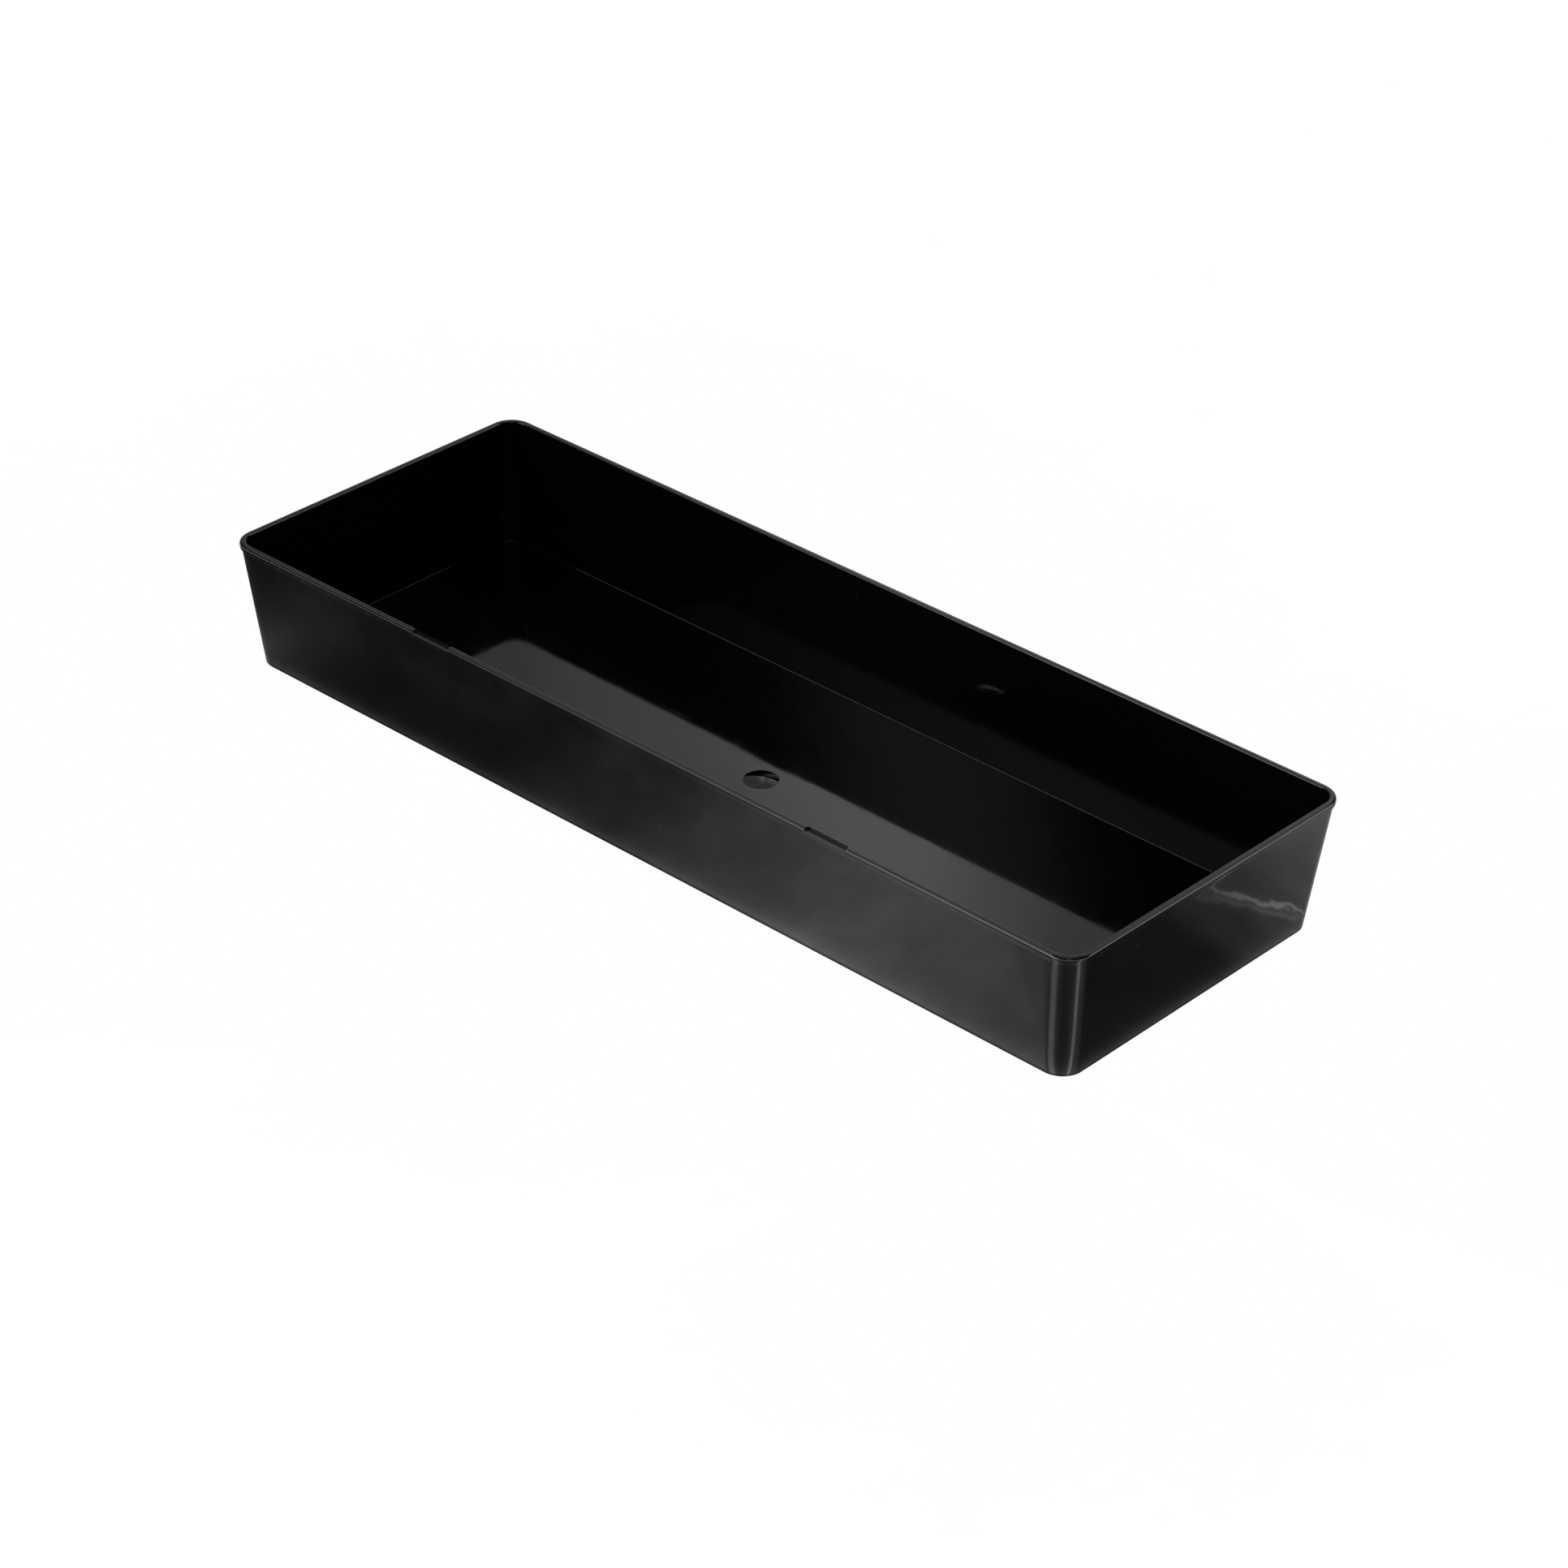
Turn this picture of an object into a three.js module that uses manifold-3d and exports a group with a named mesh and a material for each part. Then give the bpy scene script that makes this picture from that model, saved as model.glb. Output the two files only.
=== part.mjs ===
// Shallow one-piece insert tray for a desk drawer, injection moulded in glossy black plastic.
// Millimetres, +Z up, +X along the tray, origin at the centre of the underside.
// The long wall on the -Y side is the front: the outer edge of its rim has two shallow notches.

import * as THREE from "three";
import { mergeVertices } from "three/addons/utils/BufferGeometryUtils.js";
import Module from "manifold-3d";

// ---- driving dimensions ----
const LENGTH = 300;
const WIDTH = 108;
const HEIGHT = 38;
const WALL = 1.5;
const FLOOR = 1.7;
const CORNER_RADIUS_RIM = 7.2;
const CORNER_RADIUS_FOOT = 6.9;
const TAPER_END = 3.5;
const TAPER_SIDE = 4.25;

const LIP_PROUD = 0.45;
const LIP_HEIGHT = 1.8;
const RIM_ROUND_OUTER = 0.9;
const RIM_ROUND_INNER = 0.4;
const FOOT_ROUND = 0.4;
const FLOOR_FILLET = 0.15;

const NOTCH_CENTRE_X = 70.5;
const NOTCH_LENGTH = 13.5;
const NOTCH_DEPTH = 0.7;
const NOTCH_LAND = 0.2;

const GATE_DOME_RADIUS = 4.8;
const GATE_DOME_RISE = 0.55;
const GATE_WELL_RADIUS = 4.0;
const GATE_WELL_DEPTH = 0.6;

const CORNER_STEPS = 8;
const ROUND_STEPS = 4;
const GATE_STEPS = 32;

const wasm = await Module();
wasm.setup();

// ---- solids: three.js geometry in, joined or cut, three.js geometry out ----
function toSolid(geometry) {
  const bare = geometry.clone();
  bare.deleteAttribute("normal");
  bare.deleteAttribute("uv");
  const merged = mergeVertices(bare, 1e-5);
  return new wasm.Manifold(
    new wasm.Mesh({
      numProp: 3,
      vertProperties: new Float32Array(merged.attributes.position.array),
      triVerts: new Uint32Array(merged.index.array),
    }),
  );
}

function toGeometry(solid) {
  const mesh = solid.getMesh();
  const geometry = new THREE.BufferGeometry();
  const positions = new Float32Array(mesh.vertProperties);
  geometry.setAttribute("position", new THREE.BufferAttribute(positions, 3));
  geometry.setIndex(new THREE.BufferAttribute(new Uint32Array(mesh.triVerts), 1));
  geometry.computeVertexNormals();
  return geometry;
}

// ---- one level outline of the tray: a rectangle with round corners ----
function outline({ halfLength, halfWidth, radius }) {
  const shape = new THREE.Shape();
  const x = halfLength - radius;
  const y = halfWidth - radius;
  shape.absarc(x, y, radius, 0, Math.PI / 2);
  shape.absarc(-x, y, radius, Math.PI / 2, Math.PI);
  shape.absarc(-x, -y, radius, Math.PI, Math.PI * 1.5);
  shape.absarc(x, -y, radius, Math.PI * 1.5, Math.PI * 2);
  const points = shape.curves
    .filter((curve) => curve.isEllipseCurve)
    .flatMap((curve) => curve.getPoints(CORNER_STEPS));
  return points;
}

// The wall's mid-surface leans outward with height. These give the outer face at height z.
function outerLevel(z, inset = 0) {
  const down = 1 - z / HEIGHT;
  const fall = CORNER_RADIUS_RIM - CORNER_RADIUS_FOOT;
  return {
    z,
    halfLength: LENGTH / 2 - LIP_PROUD - TAPER_END * down - inset,
    halfWidth: WIDTH / 2 - LIP_PROUD - TAPER_SIDE * down - inset,
    radius: CORNER_RADIUS_RIM - LIP_PROUD - fall * down - inset,
  };
}

function innerLevel(z, inset = 0) {
  return outerLevel(z, WALL + inset);
}

function lipLevel(z, inset = 0) {
  return {
    z,
    halfLength: LENGTH / 2 - inset,
    halfWidth: WIDTH / 2 - inset,
    radius: CORNER_RADIUS_RIM - inset,
  };
}

// A quarter round as [inset, offset along z] pairs, from the flat face to the upright face.
function quarterRound(radius) {
  return Array.from({ length: ROUND_STEPS + 1 }, (_, i) => {
    const angle = (Math.PI / 2) * (i / ROUND_STEPS);
    return [radius * (1 - Math.sin(angle)), radius * (1 - Math.cos(angle))];
  });
}

// ---- the tray's wall as one stack of levels, from the underside round the rim to the floor ----
function trayLevels() {
  const foot = quarterRound(FOOT_ROUND).map(([inset, rise]) => outerLevel(rise, inset));
  const underLip = HEIGHT - LIP_HEIGHT;
  const lip = [outerLevel(underLip - LIP_PROUD / 2), lipLevel(underLip)];
  const rimOuter = quarterRound(RIM_ROUND_OUTER)
    .map(([inset, drop]) => lipLevel(HEIGHT - drop, inset))
    .reverse();
  const rimInner = quarterRound(RIM_ROUND_INNER)
    .map(([inset, drop]) => innerLevel(HEIGHT - drop, -inset));
  const fillet = quarterRound(FLOOR_FILLET)
    .map(([inset, rise]) => innerLevel(FLOOR + rise, inset))
    .reverse();
  return [...foot, ...lip, ...rimOuter, ...rimInner, ...fillet];
}

// Joins neighbouring levels with triangles and closes the first and last with a fan.
function loft(levels) {
  const rings = levels.map((level) => outline(level).map((p) => [p.x, p.y, level.z]));
  const count = rings[0].length;
  const positions = rings.flat(2);
  const last = (rings.length - 1) * count;
  const footCentre = positions.length / 3;
  positions.push(0, 0, levels[0].z);
  const floorCentre = footCentre + 1;
  positions.push(0, 0, levels[levels.length - 1].z);

  const index = [];
  for (let i = 0; i < count; i++) {
    const next = (i + 1) % count;
    for (let k = 0; k + 1 < rings.length; k++) {
      const low = k * count;
      const high = low + count;
      index.push(low + i, low + next, high + next);
      index.push(low + i, high + next, high + i);
    }
    index.push(footCentre, next, i);
    index.push(floorCentre, last + i, last + next);
  }

  const geometry = new THREE.BufferGeometry();
  geometry.setAttribute("position", new THREE.Float32BufferAttribute(positions, 3));
  geometry.setIndex(index);
  return geometry;
}

// ---- two notches in the front rim: a step down from the outside, short of the inner edge ----
function notchCutter(centreX) {
  const reach = 2 * (LIP_PROUD + WALL - NOTCH_LAND);
  const cutter = new THREE.BoxGeometry(NOTCH_LENGTH, reach, NOTCH_DEPTH * 2);
  cutter.translate(centreX, -WIDTH / 2, HEIGHT);
  return toSolid(cutter);
}

// ---- gate: where the plastic entered the mould, at the centre of the floor ----
// Inside, a low round dome keeps the thickness; underneath, a well keeps the stub off the table.
function turned(points) {
  const geometry = new THREE.LatheGeometry(points, GATE_STEPS);
  geometry.rotateX(Math.PI / 2);
  return toSolid(geometry);
}

function gateDome() {
  const sphere = (GATE_DOME_RADIUS ** 2 + GATE_DOME_RISE ** 2) / (2 * GATE_DOME_RISE);
  const spread = Math.asin(GATE_DOME_RADIUS / sphere);
  const root = FLOOR / 2;
  const points = [new THREE.Vector2(0, root), new THREE.Vector2(GATE_DOME_RADIUS, root)];
  for (let i = 0; i < ROUND_STEPS * 2; i++) {
    const angle = spread * (1 - i / (ROUND_STEPS * 2));
    const height = FLOOR + GATE_DOME_RISE - sphere * (1 - Math.cos(angle));
    points.push(new THREE.Vector2(sphere * Math.sin(angle), height));
  }
  points.push(new THREE.Vector2(0, FLOOR + GATE_DOME_RISE));
  return turned(points);
}

function gateWell() {
  const mouth = GATE_WELL_RADIUS + GATE_WELL_DEPTH;
  const points = [
    new THREE.Vector2(0, -GATE_WELL_DEPTH),
    new THREE.Vector2(mouth, -GATE_WELL_DEPTH),
    new THREE.Vector2(GATE_WELL_RADIUS, 0),
    new THREE.Vector2(GATE_WELL_RADIUS - GATE_WELL_DEPTH, GATE_WELL_DEPTH),
    new THREE.Vector2(0, GATE_WELL_DEPTH),
  ];
  return turned(points);
}

function trayGeometry() {
  const solid = toSolid(loft(trayLevels()))
    .add(gateDome())
    .subtract(gateWell())
    .subtract(notchCutter(-NOTCH_CENTRE_X))
    .subtract(notchCutter(NOTCH_CENTRE_X));
  return toGeometry(solid);
}

const glossyBlack = new THREE.MeshStandardMaterial({
  color: 0x060606,
  roughness: 0.12,
  metalness: 0,
});

const tray = new THREE.Mesh(trayGeometry(), glossyBlack);
tray.name = "tray";

const part = new THREE.Group();
part.add(tray);

export default part;
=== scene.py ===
# %% [markdown]
# # A glossy black insert tray for a desk drawer
# The real tray is one thin shell of black polystyrene, shot into a polished mould through a gate
# in the middle of its floor. It has no second piece, so this scene has one finished piece too.
# What makes such a tray look real is not its outline, which is simple, but three quiet things:
# true wall and rim sections, very small errors of flatness, and a room worth reflecting.

import bpy
import numpy as np
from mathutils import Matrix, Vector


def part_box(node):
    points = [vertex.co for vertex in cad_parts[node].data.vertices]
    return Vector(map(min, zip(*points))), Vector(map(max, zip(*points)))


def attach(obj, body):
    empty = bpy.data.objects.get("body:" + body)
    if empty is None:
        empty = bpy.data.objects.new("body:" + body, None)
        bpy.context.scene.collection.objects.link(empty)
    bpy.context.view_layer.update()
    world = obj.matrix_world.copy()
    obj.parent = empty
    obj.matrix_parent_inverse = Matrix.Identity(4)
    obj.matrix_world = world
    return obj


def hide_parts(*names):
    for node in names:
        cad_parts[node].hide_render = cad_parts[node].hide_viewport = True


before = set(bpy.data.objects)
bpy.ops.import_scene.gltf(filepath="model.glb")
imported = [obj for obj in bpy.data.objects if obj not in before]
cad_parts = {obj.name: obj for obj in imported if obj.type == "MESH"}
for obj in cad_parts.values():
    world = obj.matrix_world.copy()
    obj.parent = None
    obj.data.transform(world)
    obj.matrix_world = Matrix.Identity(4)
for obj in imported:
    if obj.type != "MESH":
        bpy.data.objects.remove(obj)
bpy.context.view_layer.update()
tray_low, tray_high = (np.array(corner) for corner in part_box("tray"))
half_length, half_width = tray_high[:2]
rim_height = tray_high[2]
print("tray", np.round(1000 * (tray_high - tray_low), 1), "mm")

# %% [markdown]
# ## Sizes
# The outside comes from the frame. The section through the wall is what the mould maker would
# write down: wall, floor, lip, radii and taper. Everything is in metres, so MM makes it readable.

# %% The wall section and the small features
MM = 0.001
WALL = 1.5 * MM
FLOOR = 1.7 * MM
CORNER_RIM = 7.2 * MM
CORNER_FOOT = 6.9 * MM
TAPER_END = 3.5 * MM
TAPER_SIDE = 4.25 * MM
LIP_PROUD = 0.45 * MM
LIP_HEIGHT = 1.8 * MM
RIM_OUTER = 0.9 * MM
RIM_INNER = 0.4 * MM
LIP_ROOT = 0.25 * MM
LIP_NOSE = 0.12 * MM
FOOT_ROUND = 0.4 * MM
FLOOR_FILLET = 0.15 * MM
NOTCH_CENTRE = 70.5 * MM
NOTCH_LENGTH = 13.5 * MM
NOTCH_DEPTH = 0.7 * MM
NOTCH_LAND = 0.2 * MM
NOTCH_SHOULDER = 0.4 * MM
NOTCH_END = 0.12 * MM
DOME_RADIUS = 4.8 * MM
DOME_RISE = 0.55 * MM
WELL_RADIUS = 4.0 * MM
WELL_DEPTH = 0.6 * MM
WELL_STEPS = np.array([0.0, 0.06, 0.5, 0.94, 1.0])
GATE_SWELL = 0.05 * MM
SWELL_SPREAD = 7.0 * MM
BOW_RIM = 0.7 * MM
BOW_FOOT = 0.2 * MM
BOW_FADE = 8
print("rim", round(1000 * (WALL + LIP_PROUD), 2), "mm thick, wall", round(1000 * WALL, 2), "mm")

# %% [markdown]
# ## One ring of the tray
# Every level of the tray is the same outline at another size: a rectangle with round corners.
# If each ring has the same number of points in the same order, rings can be stacked into a
# skin with no thought about topology, as a potter stacks coils. The corner arcs get many
# points and the straights few, apart from the front, where the notches need their own columns.

# %% Columns round the outline
CORNER_POINTS = 20
straight_x = half_length - CORNER_RIM
straight_y = half_width - CORNER_RIM
notch_edges = np.array([-1, 1]) * NOTCH_LENGTH / 2
near_edge = np.array([-1.2, -0.5, -0.2, -0.08, -0.04, 0.0, 0.04, 0.08, 0.2, 0.5, 1.2]) * MM
notch_columns = (
    np.array([-1, 1])[:, None, None] * NOTCH_CENTRE
    + notch_edges[None, :, None]
    + near_edge[None, None, :]
).ravel()
even_columns = np.linspace(-1, 1, 65)[1:-1] * straight_x
clear = np.abs(even_columns[:, None] - notch_columns[None, :]).min(axis=1) > 0.8 * MM
along_x = np.sort(np.concatenate([even_columns[clear], notch_columns])) / straight_x
along_y = np.linspace(-1, 1, 25)[1:-1]
quarter = np.linspace(0, np.pi / 2, CORNER_POINTS + 1)


def ring(half_x, half_y, radius):
    """One closed outline, anticlockwise from the +X side, as an (n, 2) array.

    A corner point is the corner's centre plus the radius times (cos, sin) of its angle; a
    point on a straight is a fixed fraction of the way between the two corner centres."""
    cx, cy = half_x - radius, half_y - radius
    pieces = []
    for sign_x, sign_y, start in ((1, 1, 0), (-1, 1, 1), (-1, -1, 2), (1, -1, 3)):
        angle = start * np.pi / 2 + quarter
        arc = np.stack([sign_x * cx + radius * np.cos(angle), sign_y * cy + radius * np.sin(angle)], 1)
        if start in (0, 2):
            straight = np.stack([-sign_x * along_x * cx, np.full(along_x.size, sign_y * half_y)], 1)
        else:
            straight = np.stack([np.full(along_y.size, sign_x * half_x), -sign_y * along_y * cy], 1)
        pieces += [arc, straight]
    return np.concatenate(pieces)


columns = ring(half_length, half_width, CORNER_RIM)
COLUMN_COUNT = len(columns)
print(COLUMN_COUNT, "points on each ring")

# %% [markdown]
# ## The section through the wall
# The skin is drawn as one path, from the underside, round the foot, up the outside, over the
# lip and down the inside to the floor. Each step of the path says how far in from the outer
# face it is, and how high. Round edges are short arcs with a few rings each, and a spare ring
# stands close on either side of them, so that smooth shading keeps the big faces flat.
#
# The front rim also has two notches: the top of its outer edge is cut down by under a
# millimetre, and a thin land is left standing beside the inner edge. A notch needs no faces of
# its own. It is a second path with the same number of points, and the columns at its two ends,
# packed closely, carry the rim from one path to the other in a near-upright end face.

# %% The plain path and the notched path
TOP_POINTS = 8
SPARE_RING = 0.15 * MM


def outer_face(z, inset):
    """Half length, half width and corner radius of the outer face at height z, pulled in by inset."""
    down = 1 - z / rim_height
    return (
        half_length - LIP_PROUD - TAPER_END * down - inset,
        half_width - LIP_PROUD - TAPER_SIDE * down - inset,
        CORNER_RIM - LIP_PROUD - (CORNER_RIM - CORNER_FOOT) * down - inset,
    )


def arc(radius, steps, from_angle, to_angle, centre):
    """Points of a circle: centre + radius (cos, sin), as (across, up) pairs, angles in degrees."""
    angle = np.radians(np.linspace(from_angle, to_angle, steps + 1))
    return np.stack([radius * np.cos(angle), radius * np.sin(angle)], 1) + centre


def upright(across, heights):
    """Points one above another at the same distance across."""
    return np.stack([np.full(len(heights), across), heights], 1)


def rim_top(notched):
    """Lip face, outer shoulder and flat top, or inside a notch: lower shoulder, ledge and land."""
    top = rim_height - NOTCH_DEPTH * notched
    radius = NOTCH_SHOULDER if notched else RIM_OUTER
    face = upright(-LIP_PROUD, [top - radius - 0.1 * MM])
    shoulder = arc(radius, 8, 180, 90, [radius - LIP_PROUD, top - radius])
    flat_end = WALL - RIM_INNER
    if not notched:
        across = np.linspace(radius - LIP_PROUD, flat_end, TOP_POINTS + 2)[1:-1]
        return np.concatenate([face, shoulder, np.stack([across, np.full(TOP_POINTS, top)], 1)])
    land = WALL - NOTCH_LAND
    ledge = np.array([[land - 0.3 * MM, top], [land - 0.1 * MM, top], [land - 0.02 * MM, top + 0.03 * MM]])
    back = upright(land, [top + 0.1 * MM, top + 0.25 * MM, rim_height - 0.25 * MM, rim_height - 0.12 * MM])
    crest = np.array([[land + 0.004 * MM, rim_height - 0.065 * MM]])
    return np.concatenate([face, shoulder, ledge, back, crest])


def section(notched=False):
    """The whole path as an (n, 2) array of (inset from the outer face at that height, height)."""
    under_lip = rim_height - LIP_HEIGHT
    land_angle = np.degrees(np.arccos(1 - NOTCH_LAND / RIM_INNER)) if notched else 90
    inner_foot = FLOOR + FLOOR_FILLET
    climb = np.linspace(2.4 * MM, under_lip - 1.2 * MM, 26)
    fall = np.linspace(under_lip - 0.8 * MM, inner_foot + 0.8 * MM, 24)
    return np.concatenate(
        [
            arc(FOOT_ROUND, 8, 270, 180, [FOOT_ROUND, FOOT_ROUND]),
            upright(0, [FOOT_ROUND + SPARE_RING, FOOT_ROUND + 4 * SPARE_RING, *climb]),
            arc(LIP_ROOT, 4, 0, 90, [-LIP_ROOT, under_lip - LIP_ROOT]),
            arc(LIP_NOSE, 3, 270, 180, [LIP_NOSE - LIP_PROUD, under_lip + LIP_NOSE]),
            rim_top(notched),
            arc(RIM_INNER, 6, land_angle, 0, [WALL - RIM_INNER, rim_height - RIM_INNER]),
            upright(WALL, [rim_height - RIM_INNER - SPARE_RING, under_lip, *fall, inner_foot + SPARE_RING]),
            arc(FLOOR_FILLET, 8, 180, 270, [WALL + FLOOR_FILLET, inner_foot]),
        ]
    )


print(len(section()), "rings from foot to floor")

# %% [markdown]
# ## The wall as a stack of rings
# Every step of the path becomes one ring: the outline at that height, pulled in by that much.
# This is done twice, once for the plain path and once for the notched one. Then the two stacks
# are mixed column by column. Cutting the notches with a Boolean would be another way, but it
# leaves long thin triangles on the rim, and they spoil the reflections beside each notch.

# %% Stack the rings of the wall
def in_notch(x):
    """1 inside a notch and 0 outside, with a smooth step t^2 (3 - 2t), NOTCH_END wide, at each end."""
    reach = NOTCH_LENGTH / 2 - np.abs(np.abs(x) - NOTCH_CENTRE)
    t = np.clip(reach / NOTCH_END + 0.5, 0, 1)
    return t * t * (3 - 2 * t)


def wall_rings():
    """Rings of the wall: plain + (notched - plain) times the notch weight on the front side."""
    stacks = []
    for notched in (False, True):
        path = section(notched)
        level = [np.column_stack([ring(*outer_face(z, d)), np.full(COLUMN_COUNT, z)]) for d, z in path]
        stacks.append(np.array(level))
    plain, cut = stacks
    weight = in_notch(plain[..., 0]) * (plain[..., 1] < -straight_y)
    return plain + (cut - plain) * weight[..., None]


wall = wall_rings()
print("wall grid", wall.shape)

# %% [markdown]
# ## Floor and underside
# A flat sheet needs few points, but this floor carries a round gate mark at its centre: a low
# dome inside, and a shallow well underneath that keeps the stub of plastic off the drawer. So
# the rings melt from the rectangle into a circle on the way in: a ring is a mix of the two, and
# the share of the circle grows from none at the wall to all at the gate.

# %% Rings that melt from the rectangle into the gate circle
GATE_CROWDING = 1.6
FIRST_STEP = 0.004


def melting_rings(edge, radius, count):
    """Rings (1 - t) edge + t circle, where each circle point lies in its edge point's direction.

    t = 1 - (1 - step)^GATE_CROWDING crowds the rings towards the gate, and one spare ring at
    FIRST_STEP stands close to the edge."""
    direction = edge / np.linalg.norm(edge, axis=1, keepdims=True)
    t = 1 - (1 - np.linspace(0, 1, count + 1)[1:]) ** GATE_CROWDING
    t = np.concatenate([[FIRST_STEP], t])[:, None, None]
    return (1 - t) * edge + t * radius * direction


def with_height(rings, z):
    """Adds the heights, one for each ring, as the third coordinate."""
    z = np.broadcast_to(np.asarray(z, float)[..., None, None], rings.shape[:2] + (1,))
    return np.concatenate([rings, z], axis=2)


def swell(rings):
    """Rise of the floor round the gate: a bell, GATE_SWELL exp(-r^2 / (2 s^2)) with s = SWELL_SPREAD."""
    square = (rings[..., :2] ** 2).sum(axis=2)
    return GATE_SWELL * np.exp(-square / (2 * SWELL_SPREAD**2))


def dome_height(r):
    """Height of a spherical cap of DOME_RADIUS and DOME_RISE at distance r from its middle."""
    sphere = (DOME_RADIUS**2 + DOME_RISE**2) / (2 * DOME_RISE)
    return np.sqrt(np.maximum(sphere**2 - r**2, 0)) - (sphere - DOME_RISE)


print("dome", round(dome_height(0.0) / MM, 2), "mm high in the middle")

# %% [markdown]
# ## The whole skin in one grid
# The rings are put in order from the middle of the underside, out to the foot, up and over the
# wall, and in again to the middle of the floor. The plastic cools last round the gate, so the
# floor swells there by a twentieth of a millimetre. That alone bends the edge of a reflection.

# %% Stack every ring, from the middle of the underside round to the middle of the floor
def tray_rings():
    """All rings of the skin as one (rings, columns, 3) array in metres."""
    under_edge, floor_edge = wall[0, :, :2], wall[-1, :, :2]
    direction = floor_edge / np.linalg.norm(floor_edge, axis=1, keepdims=True)
    under = melting_rings(under_edge, WELL_RADIUS + 0.15 * MM, 14)[::-1]
    well_in = WELL_RADIUS - WELL_DEPTH
    well_r = np.concatenate([np.linspace(0.2, 0.9, 6) * well_in, well_in + WELL_DEPTH * WELL_STEPS])
    well_z = np.concatenate([np.full(6, WELL_DEPTH), WELL_DEPTH * (1 - WELL_STEPS)])
    over = melting_rings(floor_edge, DOME_RADIUS + 0.1 * MM, 44)
    dome_r = DOME_RADIUS * np.concatenate([[1.0, 0.985, 0.96], np.linspace(0.92, 0.06, 14)])
    floor = np.concatenate(
        [
            with_height(over, np.full(len(over), FLOOR)),
            with_height(dome_r[:, None, None] * direction, FLOOR + dome_height(dome_r)),
        ]
    )
    floor[..., 2] += swell(floor)
    return np.concatenate(
        [
            with_height(well_r[:, None, None] * direction, well_z),
            with_height(under, np.zeros(len(under))),
            wall,
            floor,
        ]
    )


points = tray_rings()
print("skin grid", points.shape)

# %% [markdown]
# ## Small errors of flatness
# Thin walls never cool evenly. A long wall is drawn in by under a millimetre at its middle, and
# every face has a slow ripple of a few hundredths. Nobody sees the ripple itself, only how it
# bends the reflections, which is what tells the eye that this is plastic and not glass. The bow
# is made here in the mesh. The ripple is too fine for it and comes later, as a bump.

# %% Bow
def bow_front(grid):
    """Moves the front wall inwards by 1 - (x / half length)^2 times a bow that grows with height.

    The share (distance to the front)^BOW_FADE keeps the move to the front wall."""
    x, y, z = np.moveaxis(grid, 2, 0)
    share = np.clip(-y / half_width, 0, 1) ** BOW_FADE
    amount = BOW_FOOT + (BOW_RIM - BOW_FOOT) * z / rim_height
    grid[..., 1] += amount * share * (1 - (x / half_length) ** 2)


bow_front(points)
print("rim drawn in by up to", BOW_RIM / MM, "mm")

# %% [markdown]
# ## From grid to mesh
# The grid closes on itself round the outline, and each end is closed with a fan to one point.
# Quads are made from index arithmetic on whole arrays, which keeps every face turned outwards.

# %% Build the mesh
def skin_mesh(name, grid):
    """A closed mesh from a (rings, columns, 3) grid, closed at both ends by a fan to a middle point."""
    rings, count = grid.shape[:2]
    poles = np.array([[0, 0, grid[0, 0, 2]], [0, 0, grid[-1, 0, 2]]])
    vertices = np.concatenate([grid.reshape(-1, 3), poles])
    i = np.arange(count)
    after = (i + 1) % count
    low = np.arange(rings - 1)[:, None] * count
    quads = np.stack([low + i, low + after, low + count + after, low + count + i], axis=2).reshape(-1, 4)
    last_ring = (rings - 1) * count
    start_fan = np.stack([np.full(count, rings * count), after, i], 1)
    end_fan = np.stack([np.full(count, rings * count + 1), last_ring + i, last_ring + after], 1)
    mesh = bpy.data.meshes.new(name)
    mesh.from_pydata(vertices.tolist(), [], quads.tolist() + start_fan.tolist() + end_fan.tolist())
    mesh.shade_smooth()
    mesh.validate()
    return mesh


tray = bpy.data.objects.new("tray_shell", skin_mesh("tray_shell", points))
bpy.context.scene.collection.objects.link(tray)
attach(tray, "root")
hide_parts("tray")
print(len(tray.data.polygons), "faces")

# %% [markdown]
# ## Gloss black polystyrene
# The pigment swallows nearly all the light that enters, so the colour is close to nothing and
# the look is all surface: a clear reflection whose strength follows the angle. Polystyrene bends
# light more than most plastics, with an index of 1.59, and that sets the gloss.
#
# Node trees written by hand get long, so a few small helpers come first: any node, one sum, a
# product, a change of range and a noise mask. Each gives back a socket, so they nest in the way
# that ordinary formulas do.

# %% Helpers for node trees
def add_node(tree, kind, inputs=None, **settings):
    """Adds one node, sets its properties, and fills inputs with values or other nodes' outputs."""
    node = tree.nodes.new(kind)
    for key, value in settings.items():
        setattr(node, key, value)
    for key, value in (inputs or {}).items():
        if isinstance(value, bpy.types.NodeSocket):
            tree.links.new(value, node.inputs[key])
        else:
            node.inputs[key].default_value = value
    return node


def calc(tree, operation, first, second=0.0, third=0.0):
    """One Math node: its output socket."""
    inputs = {0: first, 1: second}
    if operation in ("WRAP", "MULTIPLY_ADD"):
        inputs[2] = third
    return add_node(tree, "ShaderNodeMath", inputs, operation=operation).outputs[0]


def product(tree, *factors):
    """All the factors multiplied together."""
    total = factors[0]
    for factor in factors[1:]:
        total = calc(tree, "MULTIPLY", total, factor)
    return total


def remap(tree, value, low, high, to_low=0.0, to_high=1.0):
    """Straight-line change of range, clamped: to_low at low and to_high at high."""
    inputs = {"Value": value, "From Min": low, "From Max": high, "To Min": to_low, "To Max": to_high}
    return add_node(tree, "ShaderNodeMapRange", inputs).outputs["Result"]


def noise(tree, place, size, detail=2.0, stretch=(1, 1, 1)):
    """Noise with blotches of about this size in metres, drawn out along an axis by a small stretch."""
    scaled = add_node(tree, "ShaderNodeVectorMath", {0: place, 1: stretch}, operation="MULTIPLY").outputs[0]
    inputs = {"Vector": scaled, "Scale": 1 / size, "Detail": detail}
    return add_node(tree, "ShaderNodeTexNoise", inputs).outputs["Fac"]


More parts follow.
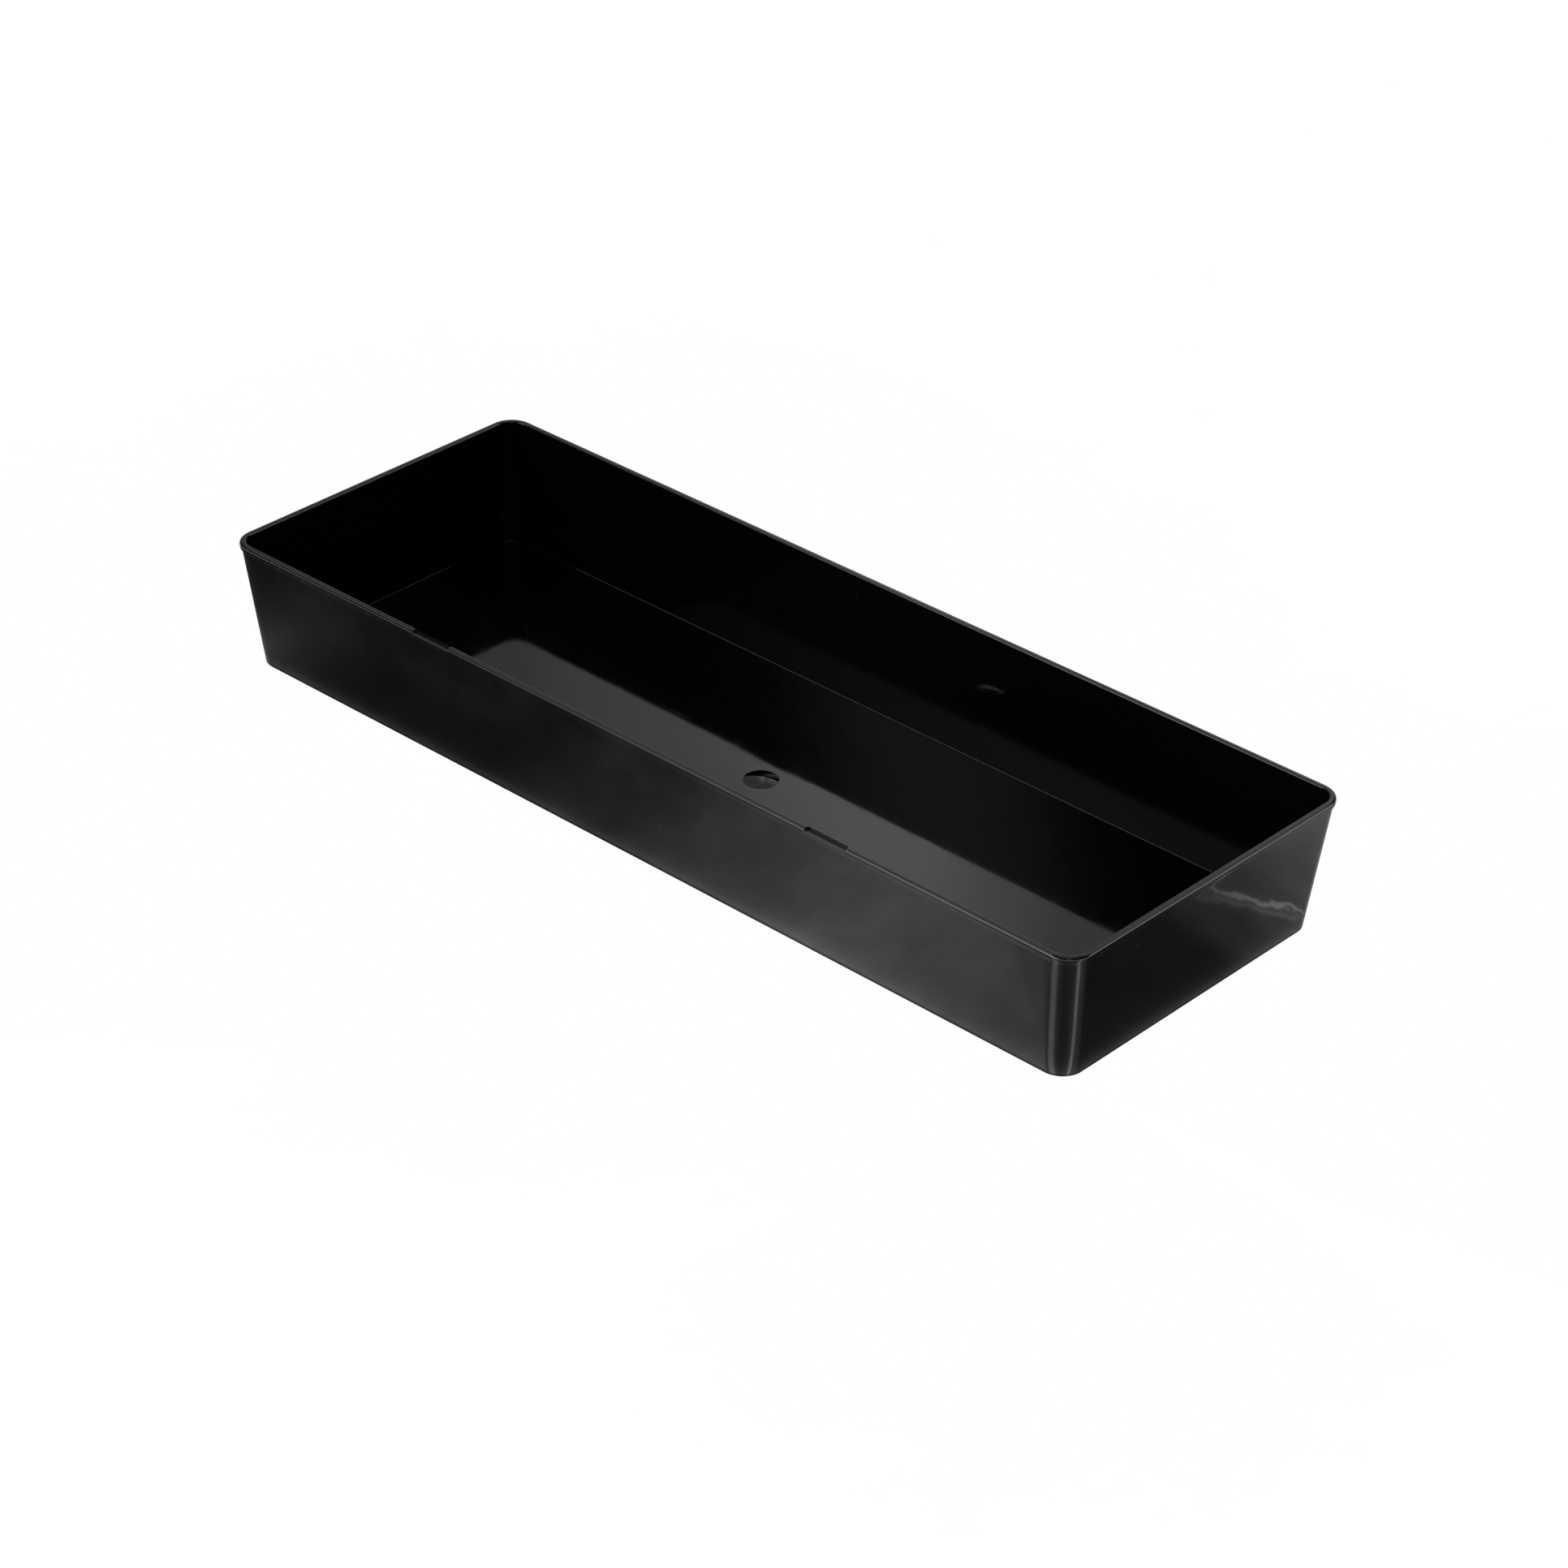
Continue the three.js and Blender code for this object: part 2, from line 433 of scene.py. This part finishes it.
def blotches(tree, place, recipe, stretch=(1, 1, 1)):
    """Mask from noise: 0 up to the recipe's lower threshold, 1 from its upper one."""
    size, detail, low, high = recipe
    return remap(tree, noise(tree, place, size, detail, stretch), low, high)


def fresh_tree(data):
    """Switches nodes on and clears them: an empty tree."""
    data.use_nodes = True
    data.node_tree.nodes.clear()
    return data.node_tree


node_helpers = (add_node, calc, product, remap, noise, blotches, fresh_tree)
print("node helpers:", ", ".join(helper.__name__ for helper in node_helpers))

# %% [markdown]
# ## What a used tray carries
# A new moulding is nearly perfect, and a perfect mirror looks false. Real ones have a haze that
# varies over centimetres, marks from handling, hairlines along the tray, dust, a grey film on
# the outside, and worn edges at the rim and the foot. All are placed by Object coordinates, so
# they stay on the plastic at their real size. Each mask below runs from 0 to 1.
#
# A recipe for blotches is four numbers: their size, their detail, and the two noise values
# between which the mask climbs from 0 to 1. The higher those two, the rarer the blotches.

# %% Masks for wear and dirt
HAZE_BLOTCHES = (22 * MM, 4.0, 0.35, 0.75)
MARK_BLOTCHES = (9 * MM, 5.0, 0.52, 0.7)
HAIR_BLOTCHES = (1.2 * MM, 3.0, 0.66, 0.72)
HAIR_STRETCH = (0.04, 1, 1)
FILM_BLOTCHES = (16 * MM, 6.0, 0.42, 0.72)
WORN_BLOTCHES = (1.5 * MM, 4.0, 0.45, 0.7)
FLECK_BLOTCHES = (0.9 * MM, 3.0, 0.54, 0.66)
FLECK_REACH = (0.1 * MM, 0.5 * MM)
FLECK_LEFT, FLECK_RIGHT, FLECKS_AT_RIGHT = -150 * MM, -60 * MM, 0.15
FRONT_FACE = -half_width + 2.0 * MM
FRONT_SOFT = 1.5 * MM
RIM_WEAR = 0.5 * MM
FOOT_WEAR = 0.9 * MM
LIP_EDGE = rim_height - LIP_HEIGHT
DUST_SPACING = 6.0 * MM
DUST_RADIUS = 0.14 * MM
DUST_SHARE = 0.22


def on_front(tree, xyz):
    """1 on the outside of the front wall, 0 inside the tray."""
    return remap(tree, xyz["Y"], FRONT_FACE, FRONT_FACE + FRONT_SOFT, 1.0, 0.0)


def worn_edges(tree, place, xyz):
    """Broken wear along the rim and the foot."""
    top = remap(tree, xyz["Z"], rim_height - RIM_WEAR, rim_height)
    foot = remap(tree, xyz["Z"], 0.0, FOOT_WEAR, 1.0, 0.0)
    edge = calc(tree, "MAXIMUM", top, foot)
    return product(tree, edge, blotches(tree, place, WORN_BLOTCHES))


def dust(tree, place):
    """Round specks: within DUST_RADIUS of a cell's point, in a DUST_SHARE of the cells."""
    cells = add_node(tree, "ShaderNodeTexVoronoi", {"Vector": place, "Scale": 1 / DUST_SPACING})
    near = calc(tree, "LESS_THAN", cells.outputs["Distance"], DUST_RADIUS / DUST_SPACING)
    lot = add_node(tree, "ShaderNodeSeparateColor", {"Color": cells.outputs["Color"]}).outputs[0]
    return product(tree, near, calc(tree, "GREATER_THAN", lot, 1 - DUST_SHARE))


def lip_flecks(tree, place, xyz):
    """Pale flecks under the front lip, more of them towards the left end."""
    from_lip = calc(tree, "ABSOLUTE", calc(tree, "SUBTRACT", xyz["Z"], LIP_EDGE))
    near_lip = remap(tree, from_lip, *FLECK_REACH, 1.0, 0.0)
    left = remap(tree, xyz["X"], FLECK_LEFT, FLECK_RIGHT, 1.0, FLECKS_AT_RIGHT)
    return product(tree, blotches(tree, place, FLECK_BLOTCHES), near_lip, left, on_front(tree, xyz))


print("dust:", round(DUST_SHARE / (DUST_SPACING / 0.01) ** 2, 2), "specks to a square centimetre")

# %% [markdown]
# ## Roughness, colour and ripple
# The masks feed three inputs of one Principled shader. Roughness does most of the work. Colour
# only matters where something pale lies on the black. The ripple is a Bump of a few hundredths
# of a millimetre, and it is strongest on the right end wall, which cooled least evenly. A
# Displacement would move real points, but it would need millions of them for the same effect.

# %% The plastic
PIGMENT = 0.002
FILM_GREY, WORN_GREY, FLECK_GREY, DUST_GREY = 0.008, 0.006, 0.12, 0.16
POLISH = 0.045
HAZE_ROUGH, MARK_ROUGH, HAIR_ROUGH, WORN_ROUGH = 0.017, 0.02, 0.03, 0.06
REFRACTION = 1.59
WAVE_HEIGHT = 0.05 * MM
WAVE_SIZE, WAVE_DETAIL = 9 * MM, 1.0
WAVE_START, WAVE_FULL = half_length - 8 * MM, half_length - 6 * MM
WAVE_ELSEWHERE = 0.18
GRAIN_SIZE, GRAIN_SHARE = 0.6 * MM, 0.012


def add_shares(tree, total, shares):
    """total + the sum of mask times share."""
    for mask, share in shares:
        total = calc(tree, "MULTIPLY_ADD", mask, share, total)
    return total


def roughness(tree, place, worn):
    """POLISH, and more of it at haze, marks, hairlines and worn edges."""
    haze = blotches(tree, place, HAZE_BLOTCHES)
    marks = blotches(tree, place, MARK_BLOTCHES)
    hairs = blotches(tree, place, HAIR_BLOTCHES, HAIR_STRETCH)
    shares = ((haze, HAZE_ROUGH), (marks, MARK_ROUGH), (hairs, HAIR_ROUGH), (worn, WORN_ROUGH))
    return add_shares(tree, POLISH, shares)


def greyness(tree, place, xyz, worn):
    """PIGMENT, and more of it at the film, worn edges, flecks and dust, as one grey level."""
    film = product(tree, on_front(tree, xyz), blotches(tree, place, FILM_BLOTCHES))
    flecks = lip_flecks(tree, place, xyz)
    shares = ((film, FILM_GREY), (worn, WORN_GREY), (flecks, FLECK_GREY), (dust(tree, place), DUST_GREY))
    return add_shares(tree, PIGMENT, shares)


def ripple(tree, place, xyz):
    """Bumped normal from slow waves, full size on the right end wall, and a trace of fine grain."""
    end_wall = remap(tree, xyz["X"], WAVE_START, WAVE_FULL, WAVE_ELSEWHERE, 1.0)
    slow = product(tree, noise(tree, place, WAVE_SIZE, WAVE_DETAIL), end_wall)
    grain = product(tree, noise(tree, place, GRAIN_SIZE), GRAIN_SHARE)
    inputs = {"Height": calc(tree, "ADD", slow, grain), "Distance": WAVE_HEIGHT, "Strength": 1.0}
    return add_node(tree, "ShaderNodeBump", inputs).outputs["Normal"]


def gloss_black():
    """Plastic with haze, handling marks, hairlines, dust, worn edges and a slight waviness."""
    material = bpy.data.materials.new("gloss_black")
    tree = fresh_tree(material)
    place = add_node(tree, "ShaderNodeTexCoord").outputs["Object"]
    xyz = add_node(tree, "ShaderNodeSeparateXYZ", {"Vector": place}).outputs
    worn = worn_edges(tree, place, xyz)
    grey = greyness(tree, place, xyz, worn)
    colour = {"Red": grey, "Green": grey, "Blue": grey}
    inputs = {
        "Base Color": add_node(tree, "ShaderNodeCombineColor", colour).outputs[0],
        "Roughness": roughness(tree, place, worn),
        "IOR": REFRACTION,
        "Normal": ripple(tree, place, xyz),
    }
    shader = add_node(tree, "ShaderNodeBsdfPrincipled", inputs)
    add_node(tree, "ShaderNodeOutputMaterial", {"Surface": shader.outputs["BSDF"]})
    return material


tray.data.materials.append(gloss_black())
print(len(tray.data.materials[0].node_tree.nodes), "nodes in the plastic")

# %% [markdown]
# ## Camera
# A long lens from the front right, looking down by about a third of a right angle. A long lens
# keeps the far end of the tray nearly as tall as the near end, as in a catalogue picture.

# %% Camera
CAMERA_AZIMUTH = 42.318
CAMERA_ELEVATION = 31.370
CAMERA_ROLL = 1.12
CAMERA_DISTANCE = 1.1757
CAMERA_LENS = 101.43
AIM_RIGHT = 6.11 * MM
AIM_UP = 0.32 * MM


def make_camera():
    """Camera on a sphere about the tray: back = (sin a cos e, -cos a cos e, sin e), then rolled."""
    a, e, roll = np.radians([CAMERA_AZIMUTH, CAMERA_ELEVATION, CAMERA_ROLL])
    back = np.array([np.sin(a) * np.cos(e), -np.cos(a) * np.cos(e), np.sin(e)])
    level_right = np.array([np.cos(a), np.sin(a), 0.0])
    level_up = np.cross(back, level_right)
    right = level_right * np.cos(roll) + level_up * np.sin(roll)
    up = level_up * np.cos(roll) - level_right * np.sin(roll)
    place = back * CAMERA_DISTANCE + right * AIM_RIGHT + up * AIM_UP
    matrix = np.eye(4)
    matrix[:3] = np.stack([right, up, back, place], axis=1)
    data = bpy.data.cameras.new("camera")
    data.lens = CAMERA_LENS
    data.sensor_width = 36.0
    camera = bpy.data.objects.new("camera", data)
    camera.matrix_world = matrix.T.tolist()
    bpy.context.scene.collection.objects.link(camera)
    bpy.context.scene.camera = camera
    return camera


camera = make_camera()
print("camera", round(1000 * CAMERA_DISTANCE), "mm away with a", round(CAMERA_LENS), "mm lens")

# %% [markdown]
# ## The studio
# A black mirror has no look of its own: it shows the room. The room here is the kind built for
# small glossy products. A bright backdrop stands behind the tray. Soft lights hang on the left
# and overhead, a few strong ones stand low in front, on the right and behind the camera, and
# the rest is dim.
#
# Lamps and cards could be built as objects. But every light here is seen only in reflections, so
# its direction is all that counts, and it is simpler to paint the room on the world sphere. The
# camera sees plain white instead, which is what the Light Path node is for.
#
# A few more helpers serve for this: a curve through stops, a soft-edged window, a patch of light
# made of two windows, and the test for the camera's own rays.

# %% Helpers for light that depends on a place or a direction
def curve(tree, value, stops):
    """A smooth curve through (input, output) stops, made with a Color Ramp over the stops' range."""
    low, high = stops[0][0], stops[-1][0]
    ramp = add_node(tree, "ShaderNodeValToRGB", {"Fac": remap(tree, value, low, high)})
    ramp.color_ramp.interpolation = "EASE"
    elements = ramp.color_ramp.elements
    while len(elements) < len(stops):
        elements.new(0.5)
    for element, (at, level) in zip(elements, stops):
        element.position = (at - low) / (high - low)
        element.color = (level, level, level, 1)
    return ramp.outputs["Color"]


def window(tree, offset, half, soft):
    """1 where |offset| < half - soft, 0 where it is over half + soft, with a smooth step between."""
    away = calc(tree, "ABSOLUTE", offset)
    inputs = {"Value": away, "From Min": half - soft, "From Max": half + soft, "To Min": 1.0, "To Max": 0.0}
    step = add_node(tree, "ShaderNodeMapRange", inputs, interpolation_type="SMOOTHSTEP")
    return step.outputs["Result"]


def patch(tree, azimuth, elevation, box):
    """A soft-edged light: a window of azimuth times a window of elevation times a level."""
    a0, half_a, soft_a, e0, half_e, soft_e, level = box
    turn = calc(tree, "WRAP", calc(tree, "SUBTRACT", azimuth, a0), 180.0, -180.0)
    rise = calc(tree, "SUBTRACT", elevation, e0)
    return product(tree, window(tree, turn, half_a, soft_a), window(tree, rise, half_e, soft_e), level)


def camera_ray(tree):
    """1 for what the camera sees directly and 0 for every other ray."""
    return add_node(tree, "ShaderNodeLightPath").outputs["Is Camera Ray"]


light_helpers = (curve, window, patch, camera_ray)
print("light helpers:", ", ".join(helper.__name__ for helper in light_helpers))

# %% [markdown]
# ## The room
# Azimuth is measured from -Y, the way the front wall faces, towards +X, and elevation from the
# level, both in degrees. The backdrop's brightness is a curve of azimuth: it gives the floor its
# long pale band. Every other light is one box of seven numbers: middle, half width and softness
# in azimuth, the same in elevation, and its level.

# %% Paint the room on the world sphere
ROOM_LEVEL = 0.05
BACKDROP = [
    (-180, 0.05), (-165, 0.45), (-149, 0.75), (-145.5, 0.75), (-143.6, 0.5), (-142.2, 0.42), (-141, 0.68),
    (-139.8, 0.98), (-138.9, 0.98), (-137.5, 0.78), (-136, 0.56), (-134.6, 0.46), (-133.6, 0.32),
    (-130, 0.28), (-112, 0.3), (-98, 0.05), (-90, 0.0),
]
BACKDROP_FRAME = (-135.0, 60.0, 5.0, 10.0, 32.0, 5.0, 1.0)
ROOM = {
    "left overhead": (-76.0, 20.0, 7.0, 52.0, 9.0, 4.0, 1.1),
    "left overhead skirt": (-121.0, 31.0, 10.0, 52.0, 10.0, 5.0, 0.4),
    "behind overhead": (175.0, 30.0, 10.0, 50.0, 10.0, 5.0, 0.7),
    "front left softbox": (-46.3, 1.7, 1.2, 40.5, 6.0, 2.5, 1.05),
    "front left strip": (-31.0, 11.5, 4.5, 31.0, 4.5, 1.5, 4.2),
    "front horizon": (-17.0, 19.5, 4.5, 5.0, 11.0, 2.0, 5.0),
    "front horizon end": (-46.0, 8.0, 4.0, 5.0, 11.0, 2.0, 0.45),
    "low front light": (-33.0, 5.0, 3.5, 22.0, 6.0, 3.0, 0.5),
    "light behind the camera": (42.0, 5.0, 2.0, 20.0, 4.0, 1.5, 5.0),
    "ceiling": (0.0, 360.0, 1.0, 90.0, 22.0, 4.0, 0.5),
    "right horizon": (132.0, 11.0, 4.0, 5.0, 12.0, 2.0, 3.0),
    "right softbox": (152.0, 12.0, 2.0, 31.0, 9.0, 3.0, 1.0),
}


def make_world():
    """World: white to the camera, the room to every other ray."""
    world = bpy.data.worlds.new("studio")
    bpy.context.scene.world = world
    tree = fresh_tree(world)
    direction = add_node(tree, "ShaderNodeTexCoord").outputs["Generated"]
    xyz = add_node(tree, "ShaderNodeSeparateXYZ", {"Vector": direction}).outputs
    forward = calc(tree, "MULTIPLY", xyz["Y"], -1.0)
    azimuth = calc(tree, "DEGREES", calc(tree, "ARCTAN2", xyz["X"], forward))
    elevation = calc(tree, "DEGREES", calc(tree, "ARCSINE", xyz["Z"]))
    frame_window = patch(tree, azimuth, elevation, BACKDROP_FRAME)
    backdrop = product(tree, curve(tree, azimuth, BACKDROP), frame_window)
    total = calc(tree, "ADD", backdrop, ROOM_LEVEL)
    for box in ROOM.values():
        total = calc(tree, "ADD", total, patch(tree, azimuth, elevation, box))
    strength = calc(tree, "MAXIMUM", camera_ray(tree), total)
    light = add_node(tree, "ShaderNodeBackground", {"Strength": strength})
    add_node(tree, "ShaderNodeOutputWorld", {"Surface": light.outputs["Background"]})
    return world


make_world()
print(len(ROOM), "soft lights in the room")

# %% [markdown]
# ## The table beside the tray
# The outer walls lean out over the table, so what they mirror is the table within about 50 mm.
# Its brightness is one curve along the front, one along the right end, and one by direction
# round the corner between them. It grows in the last few millimetres before the foot, where the
# paper catches light under the wall, and the light is a little uneven everywhere.
#
# One bright line on the table, off the right end, makes the wavering streak on the end wall: the
# gap between two cards would do it. Again, only mirror rays see any of this.
#
# A stop of a curve is a place, in metres or degrees, and a level. A cloud is its number to a
# metre, its detail and its share.

# %% Pools of light on the table
FRONT_POOL = [
    (-0.26, 0.3), (-0.175, 0.05), (-0.11, 0.045), (-0.06, 0.05), (-0.02, 0.15), (0.03, 0.38),
    (0.067, 0.6), (0.1, 0.48), (0.135, 0.38),
]
RIGHT_POOL = [
    (-0.04, 0.045), (0.015, 0.05), (0.03, 0.12), (0.045, 0.2), (0.06, 0.33), (0.08, 0.5), (0.12, 0.45),
]
CORNER_POOL = [
    (-49, 0.38), (-42, 0.36), (-37, 0.19), (-32, 0.28), (-26, 0.62), (-20, 0.85), (-9, 0.8), (2, 0.3),
    (14, 0.17), (30, 0.13), (60, 0.17), (78, 0.32), (87, 1.15), (92, 1.15), (98, 0.35), (115, 0.2),
    (130, 0.07), (145, 0.045),
]
CORNER_PLACE = (half_length - CORNER_RIM, -half_width + CORNER_RIM)
CLOUD_BASE = 0.4
CLOUDS = [(28.0, 1.0, 0.7), (110.0, 3.0, 0.5)]
STREAK_START = (0.156, 0.047)
STREAK_TURN = -32.0
STREAK_WIDTH = 0.8 * MM
WAVER_SCALE, WAVER_DETAIL, WAVER_REACH = 170.0, 6.0, 9 * MM
ECHO_AWAY, ECHO_NARROWING, ECHO_SHARE = 4.0, 0.55, 0.35
GLOW_FALL, GLOW_SHARE = 0.2, 0.15
STREAK_LEVELS = [(-0.012, 0.0), (-0.004, 0.6), (0.003, 0.6), (0.01, 0.42), (0.02, 0.3), (0.034, 0.0)]


def pool(tree, xyz):
    """Curve of x in front, of y off the right end, and of the bearing round the corner between."""
    across = calc(tree, "SUBTRACT", xyz["X"], CORNER_PLACE[0])
    ahead = calc(tree, "SUBTRACT", CORNER_PLACE[1], xyz["Y"])
    bearing = calc(tree, "DEGREES", calc(tree, "ARCTAN2", across, ahead))
    level = curve(tree, xyz["X"], FRONT_POOL)
    for start, nearby in (
        (CORNER_POOL[0][0], curve(tree, bearing, CORNER_POOL)),
        (CORNER_POOL[-1][0], curve(tree, xyz["Y"], RIGHT_POOL)),
    ):
        past = calc(tree, "GREATER_THAN", bearing, start)
        level = add_node(tree, "ShaderNodeMix", {0: past, 2: level, 3: nearby}).outputs[0]
    return level


def cloud(tree, place, scale, detail):
    """Noise with this many clouds to a metre, averaging about a half."""
    inputs = {"Vector": place, "Scale": scale, "Detail": detail}
    return add_node(tree, "ShaderNodeTexNoise", inputs).outputs["Fac"]


def mottle(tree, place):
    """Uneven light on the paper: CLOUD_BASE plus a share of each cloud, which averages about 1."""
    level = CLOUD_BASE
    for scale, detail, share in CLOUDS:
        level = calc(tree, "MULTIPLY_ADD", cloud(tree, place, scale, detail), share, level)
    return level


def bell(tree, value):
    """exp(-value^2)."""
    return calc(tree, "EXPONENT", product(tree, product(tree, value, value), -1.0))


def streak(tree, place, xyz):
    """A wavering line: bell(v / width), v across the line, with a wide glow and an echo beside it."""
    cos, sin = np.cos(np.radians(STREAK_TURN)), np.sin(np.radians(STREAK_TURN))
    x = calc(tree, "SUBTRACT", xyz["X"], STREAK_START[0])
    y = calc(tree, "SUBTRACT", xyz["Y"], STREAK_START[1])
    along = calc(tree, "ADD", product(tree, x, cos), product(tree, y, sin))
    across = calc(tree, "SUBTRACT", product(tree, y, cos), product(tree, x, sin))
    waver = calc(tree, "SUBTRACT", cloud(tree, place, WAVER_SCALE, WAVER_DETAIL), 0.5)
    across = calc(tree, "ADD", across, product(tree, waver, WAVER_REACH))
    off = product(tree, across, 1 / STREAK_WIDTH)
    echo = bell(tree, product(tree, calc(tree, "ADD", off, ECHO_AWAY), ECHO_NARROWING))
    glow = calc(tree, "EXPONENT", product(tree, calc(tree, "ABSOLUTE", off), -GLOW_FALL))
    line = calc(tree, "MULTIPLY_ADD", glow, GLOW_SHARE, bell(tree, off))
    line = calc(tree, "MULTIPLY_ADD", echo, ECHO_SHARE, line)
    return product(tree, line, curve(tree, along, STREAK_LEVELS))


print(len(FRONT_POOL) + len(RIGHT_POOL) + len(CORNER_POOL), "stops in the three pools")

# %% [markdown]
# ## The paper
# One wide sheet just under the foot. Its light depends on the gap to an outline drawn just
# outside the foot. That gap is the distance to a rectangle with round corners: the length of
# what sticks out past the corner centres, less the corner radius.

# %% The sheet of paper
REACH = 4.0
SHEET_DROP = 0.02 * MM
OUTLINE_SETBACK = (3.5 * MM, 4.0 * MM)
FAR_GAP = (70 * MM, 180 * MM)
FOOT_GAP = (-0.2 * MM, 0.5 * MM)
FAR_LEVEL = 1.2
CLOSE_LENGTH, CLOSE_GAIN = 4.0 * MM, 0.7
TOUCH_LENGTH, TOUCH_LEVEL = 1.2 * MM, 0.28
LEFT_GLOW_LENGTH, LEFT_GLOW_LEVEL = 11 * MM, 0.3
UNDER_FOOT = 0.3


def foot_gap(tree, xyz):
    """Distance to the outline round the foot: |max(|p| - size, 0)| - CORNER_FOOT."""
    squares = []
    for axis, half, setback in zip("XY", (half_length, half_width), OUTLINE_SETBACK):
        beyond = calc(tree, "SUBTRACT", calc(tree, "ABSOLUTE", xyz[axis]), half - setback - CORNER_FOOT)
        beyond = calc(tree, "MAXIMUM", beyond, 0.0)
        squares.append(product(tree, beyond, beyond))
    return calc(tree, "SUBTRACT", calc(tree, "SQRT", calc(tree, "ADD", *squares)), CORNER_FOOT)


def fade(tree, distance, length):
    """exp(-distance / length)."""
    return calc(tree, "EXPONENT", product(tree, distance, -1 / length))


def table_level(tree, place, xyz):
    """((pool + far) (1 + gain fade) + touch fade) mottle + streak + glow, dimmed under the foot."""
    gap = foot_gap(tree, xyz)
    level = calc(tree, "ADD", pool(tree, xyz), remap(tree, gap, *FAR_GAP, 0.0, FAR_LEVEL))
    level = product(tree, level, calc(tree, "MULTIPLY_ADD", fade(tree, gap, CLOSE_LENGTH), CLOSE_GAIN, 1.0))
    level = calc(tree, "MULTIPLY_ADD", fade(tree, gap, TOUCH_LENGTH), TOUCH_LEVEL, level)
    level = calc(tree, "ADD", product(tree, level, mottle(tree, place)), streak(tree, place, xyz))
    left_corner = {0: place, 1: (-half_length, -half_width, 0)}
    from_left = add_node(tree, "ShaderNodeVectorMath", left_corner, operation="DISTANCE").outputs["Value"]
    glow = fade(tree, from_left, LEFT_GLOW_LENGTH)
    level = calc(tree, "MULTIPLY_ADD", glow, LEFT_GLOW_LEVEL, level)
    return product(tree, level, remap(tree, gap, *FOOT_GAP, UNDER_FOOT, 1.0))


def make_floor():
    """A wide plain sheet at the height of the tray's foot, white to the camera."""
    mesh = bpy.data.meshes.new("sweep")
    corners = np.array([(-1, -1, 0), (1, -1, 0), (1, 1, 0), (-1, 1, 0)]) * REACH
    mesh.from_pydata(corners.tolist(), [], [(0, 1, 2, 3)])
    floor = bpy.data.objects.new("sweep", mesh)
    bpy.context.scene.collection.objects.link(floor)
    floor.location.z = -SHEET_DROP
    material = bpy.data.materials.new("sweep_paper")
    tree = fresh_tree(material)
    place = add_node(tree, "ShaderNodeTexCoord").outputs["Object"]
    xyz = add_node(tree, "ShaderNodeSeparateXYZ", {"Vector": place}).outputs
    strength = calc(tree, "MAXIMUM", camera_ray(tree), table_level(tree, place, xyz))
    glow = add_node(tree, "ShaderNodeEmission", {"Strength": strength})
    add_node(tree, "ShaderNodeOutputMaterial", {"Surface": glow.outputs["Emission"]})
    mesh.materials.append(material)
    return floor


floor = make_floor()
bpy.context.scene.view_settings.view_transform = "Standard"
print("sheet", 2 * REACH, "m wide")
